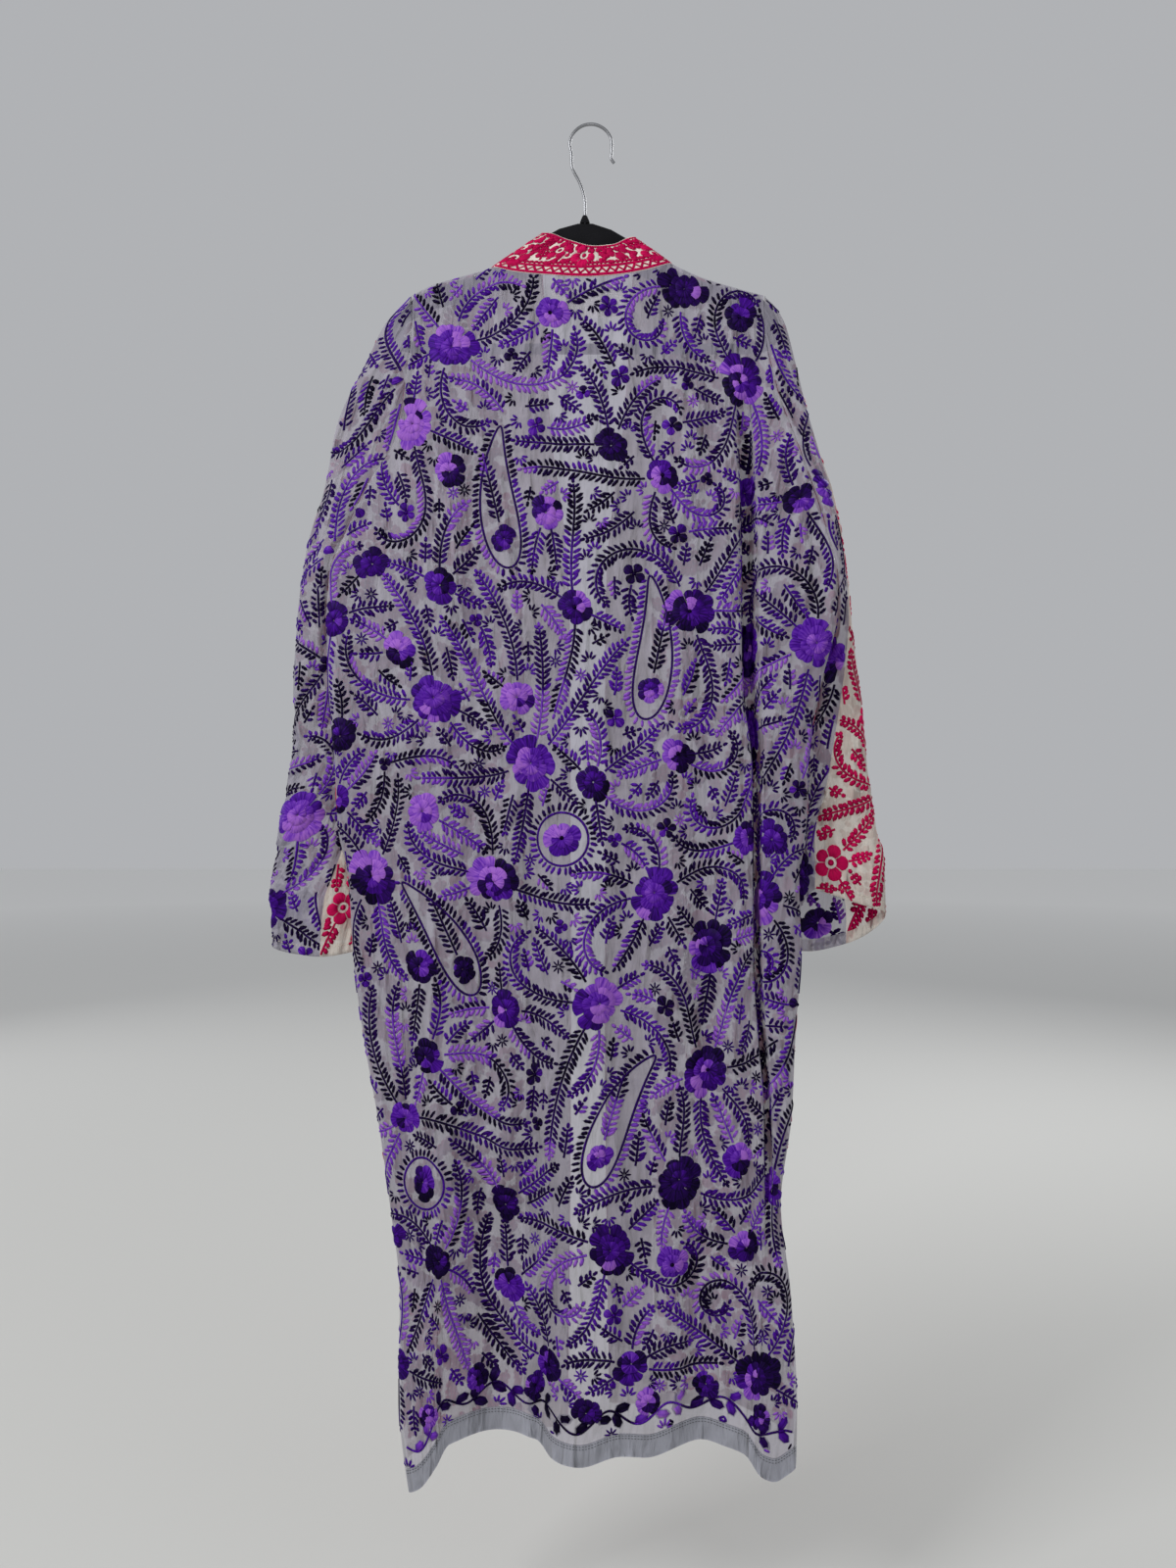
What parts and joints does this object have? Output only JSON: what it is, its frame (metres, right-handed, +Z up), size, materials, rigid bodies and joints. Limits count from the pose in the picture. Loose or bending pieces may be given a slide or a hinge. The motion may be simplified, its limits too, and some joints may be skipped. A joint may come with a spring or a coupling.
{
  "type": "kimono on a hanger",
  "caption": "Long open kimono of sheer embroidered georgette with wide sleeves and a band collar, hung on a slim velvet hanger with a wire hook.",
  "frame": {"origin": "inside top of the hook's crook, where it rests on what holds it", "axes": "+Z up, -Y out of the garment's back, +Y out of its open front, +X to the right as seen from the back"},
  "size_m": [0.67, 0.0974, 1.4534],
  "materials": {
    "grey_georgette": "sheer crepe weave with violet thread embroidery",
    "hem_cloth": "plain crepe weave, doubled",
    "cream_georgette": "sheer crepe weave with crimson thread embroidery",
    "collar_cloth": "doubled crepe weave, densely embroidered",
    "label_tape": "plain satin tape",
    "hanger_velvet": "black flock on moulded plastic",
    "hook_chrome": "polished"
  },
  "bodies": {
    "root": {"back_panel": "grey_georgette", "hem_band": "hem_cloth", "front_left": "cream_georgette", "front_right": "cream_georgette", "sleeve_left_back": "grey_georgette", "sleeve_left_front": "cream_georgette", "sleeve_right_back": "grey_georgette", "sleeve_right_front": "cream_georgette", "collar_band": "collar_cloth", "label": "label_tape", "hanger_body": "hanger_velvet", "hanger_hook": "hook_chrome"}
  },
  "joints": []
}
